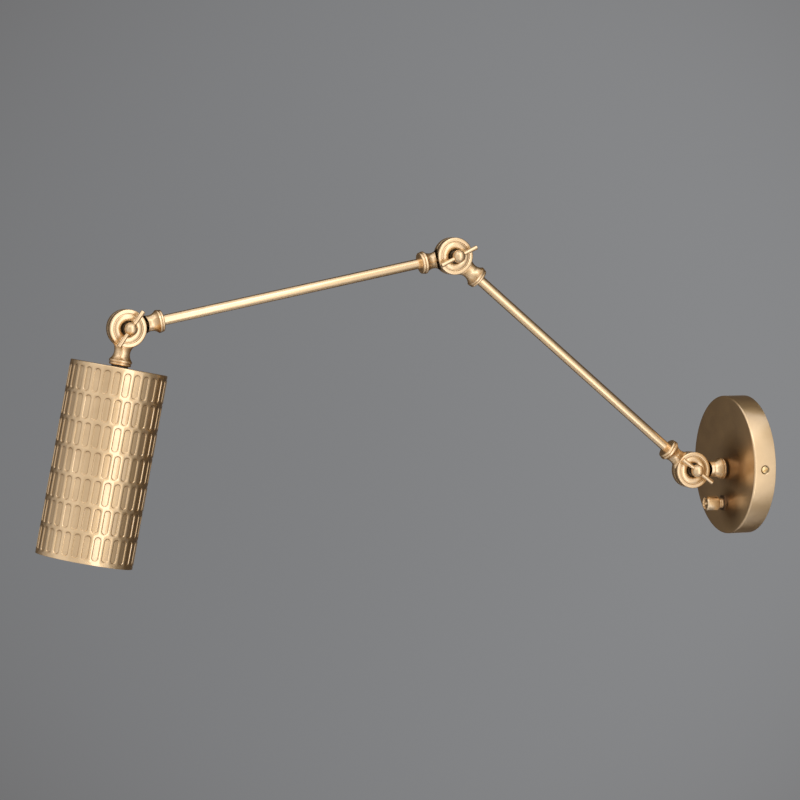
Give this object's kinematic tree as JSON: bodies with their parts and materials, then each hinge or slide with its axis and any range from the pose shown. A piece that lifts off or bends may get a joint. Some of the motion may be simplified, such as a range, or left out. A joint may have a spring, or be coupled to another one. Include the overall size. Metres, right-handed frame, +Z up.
{
  "type": "swing arm wall lamp",
  "caption": "Brass wall lamp with a round plate, two tube arms on clamped knuckle joints, a dimmer knob and a fluted tube shade.",
  "frame": {"origin": "middle of the wall plate on the wall plane, which is the middle of the two wall screw holes", "axes": "+X runs into the wall, so the lamp reaches out along -X; +Z is up; -Y is the side of the tommy bars"},
  "size_m": [0.6342, 0.12, 0.2681],
  "materials": {
    "cast_brass": "lacquered and softly polished",
    "plate_brass": "lacquered, finely brushed",
    "shade_brass": "satin, lacquered",
    "tube_brass": "satin, lacquered",
    "knob_brass": "satin, lacquered",
    "plain_brass": "bare turned brass",
    "dark_spacer": "dark, matt",
    "washer_fibre": "dark fibre, matt",
    "zinc_steel": "zinc plated",
    "black_plastic": "matt moulding",
    "ivory_plastic": "matt moulding"
  },
  "bodies": {
    "wall_mount": {"wall_plate": "plate_brass", "wall_bracket": "zinc_steel", "side_screws": "plain_brass", "earth_screw": "plain_brass", "terminal_block": "ivory_plastic", "base_knuckle": "cast_brass", "base_nipple": "plain_brass", "base_spacer": "dark_spacer", "base_locknut": "zinc_steel", "base_friction_washer": "washer_fibre", "base_cap_nut": "cast_brass", "dimmer_case": "black_plastic", "dimmer_nut": "plain_brass"},
    "lower_arm": {"lower_arm_base_knuckle": "cast_brass", "lower_arm_tube": "tube_brass", "lower_arm_elbow_knuckle": "cast_brass"},
    "upper_arm": {"upper_arm_elbow_knuckle": "cast_brass", "upper_arm_tube": "tube_brass", "upper_arm_shade_knuckle": "cast_brass", "upper_arm_friction_washers": "washer_fibre", "upper_arm_cap_nuts": "cast_brass"},
    "shade_head": {"shade_knuckle": "cast_brass", "shade_spacer": "dark_spacer", "shade_nipple": "plain_brass", "shade": "shade_brass", "shade_locknut": "zinc_steel", "lampholder_cap": "black_plastic", "lampholder_body": "black_plastic"},
    "base_clamp": {"base_clamp_screw": "cast_brass", "base_tommy_bar": "cast_brass"},
    "elbow_clamp": {"elbow_clamp_screw": "cast_brass", "elbow_tommy_bar": "cast_brass"},
    "shade_clamp": {"shade_clamp_screw": "cast_brass", "shade_tommy_bar": "cast_brass"},
    "dimmer": {"dimmer_knob": "knob_brass", "dimmer_shaft": "zinc_steel"}
  },
  "joints": [
    {"name": "base_tilt", "type": "hinge", "parent": "wall_mount", "child": "lower_arm", "pos_m": [-0.052, 0, -0.0035], "axis": [0, 1, 0], "range_deg": [-130, 50]},
    {"name": "elbow_tilt", "type": "hinge", "parent": "lower_arm", "child": "upper_arm", "pos_m": [-0.2735, 0, 0.18368], "axis": [0, -1, 0], "range_deg": [-150, 75]},
    {"name": "shade_tilt", "type": "hinge", "parent": "upper_arm", "child": "shade_head", "pos_m": [-0.55798, 0, 0.12735], "axis": [0, 1, 0], "range_deg": [-50, 180]},
    {"name": "base_clamp_turn", "type": "hinge", "parent": "wall_mount", "child": "base_clamp", "pos_m": [-0.052, 0, -0.0035], "axis": [0, -1, 0], "range_deg": [-15, 180]},
    {"name": "elbow_clamp_turn", "type": "hinge", "parent": "upper_arm", "child": "elbow_clamp", "pos_m": [-0.2735, 0, 0.18368], "axis": [0, -1, 0], "range_deg": [-15, 180]},
    {"name": "shade_clamp_turn", "type": "hinge", "parent": "upper_arm", "child": "shade_clamp", "pos_m": [-0.55798, 0, 0.12735], "axis": [0, -1, 0], "range_deg": [-15, 180]},
    {"name": "dimmer_turn", "type": "hinge", "parent": "wall_mount", "child": "dimmer", "pos_m": [-0.02, 0, -0.0335], "axis": [1, 0, 0], "range_deg": [0, 270]}
  ]
}
